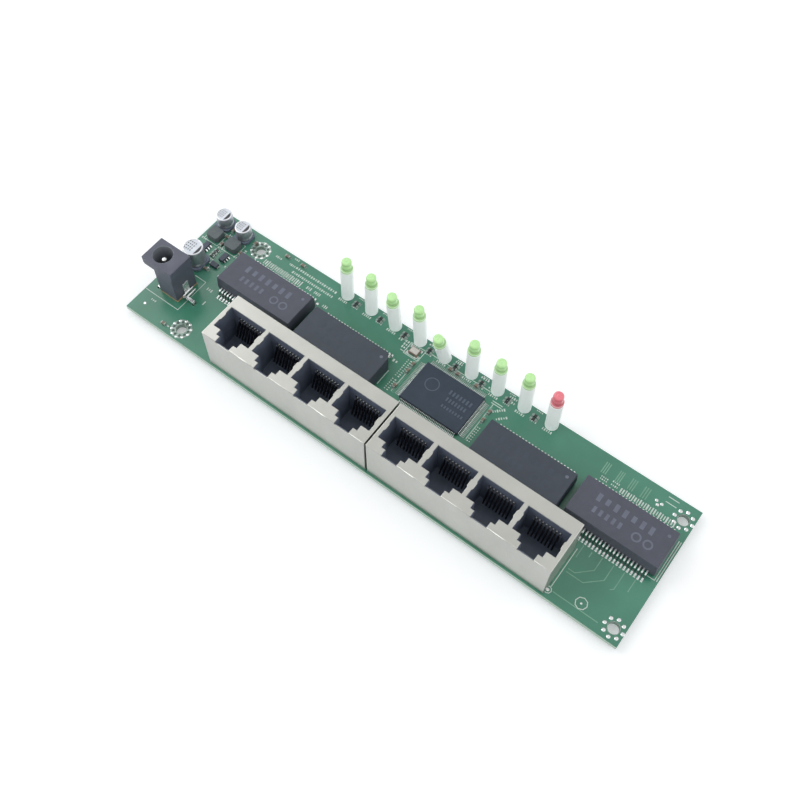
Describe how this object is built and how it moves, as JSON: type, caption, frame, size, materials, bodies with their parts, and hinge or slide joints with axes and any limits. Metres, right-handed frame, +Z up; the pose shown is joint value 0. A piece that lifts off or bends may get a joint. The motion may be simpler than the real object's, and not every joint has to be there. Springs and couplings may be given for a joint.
{
  "type": "ethernet switch module",
  "caption": "Bare network switch board with a row of upright shielded jacks, line transformers, a switch chip, a power socket and a row of status lights on spacers.",
  "frame": {"origin": "below the middle of the board, level with the tips of the solder tails", "axes": "+X along the row of ports with the power socket at -X, +Y from the ports to the lights, +Z up"},
  "size_m": [0.17, 0.0451, 0.0208],
  "materials": {
    "board": "green solder mask over glass laminate",
    "shield": "tinned sheet, satin",
    "black_plastic": "moulded, satin",
    "gold_contact": "gold plated wire",
    "tinned": "tinned and soldered",
    "module_plastic": "moulded, matt",
    "chip_plastic": "moulded, matt",
    "tan_board": "pressed insulating strip",
    "ceramic_base": "fired, matt",
    "led_green": "tinted clear resin",
    "led_red": "tinted clear resin",
    "spacer": "translucent white, satin",
    "can": "drawn can, satin",
    "inductor_plastic": "pressed iron powder, matt"
  },
  "bodies": {
    "root": {"capacitor_1": "can", "capacitor_2": "can", "capacitor_3": "can", "capacitor_base_1": "black_plastic", "capacitor_base_2": "black_plastic", "capacitor_base_3": "black_plastic", "chip_capacitors": "ceramic_base", "chip_resistors": "chip_plastic", "circuit_board": "board", "crystal_base": "ceramic_base", "crystal_lid": "shield", "diode": "chip_plastic", "diode_tabs": "tinned", "inductor_1": "inductor_plastic", "inductor_2": "inductor_plastic", "jack_contacts_left": "gold_contact", "jack_contacts_right": "gold_contact", "jack_housing_left": "black_plastic", "jack_housing_right": "black_plastic", "jack_shield_left": "shield", "jack_shield_right": "shield", "led_1": "led_green", "led_2": "led_green", "led_3": "led_green", "led_4": "led_green", "led_5": "led_green", "led_6": "led_green", "led_7": "led_green", "led_8": "led_green", "led_9": "led_red", "led_leads": "tinned", "led_spacer_1": "spacer", "led_spacer_2": "spacer", "led_spacer_3": "spacer", "led_spacer_4": "spacer", "led_spacer_5": "spacer", "led_spacer_6": "spacer", "led_spacer_7": "spacer", "led_spacer_8": "spacer", "led_spacer_9": "spacer", "line_transformer_1": "module_plastic", "line_transformer_2": "module_plastic", "line_transformer_3": "module_plastic", "line_transformer_4": "module_plastic", "power_lug": "tinned", "power_socket": "black_plastic", "power_socket_base": "tan_board", "power_socket_pin": "tinned", "power_terminal": "tinned", "regulator_1": "chip_plastic", "regulator_2": "chip_plastic", "regulator_leads": "tinned", "switch_chip": "chip_plastic", "switch_chip_leads": "tinned", "transformer_leads_1": "tinned", "transformer_leads_2": "tinned", "transformer_leads_3": "tinned", "transformer_leads_4": "tinned"}
  },
  "joints": []
}
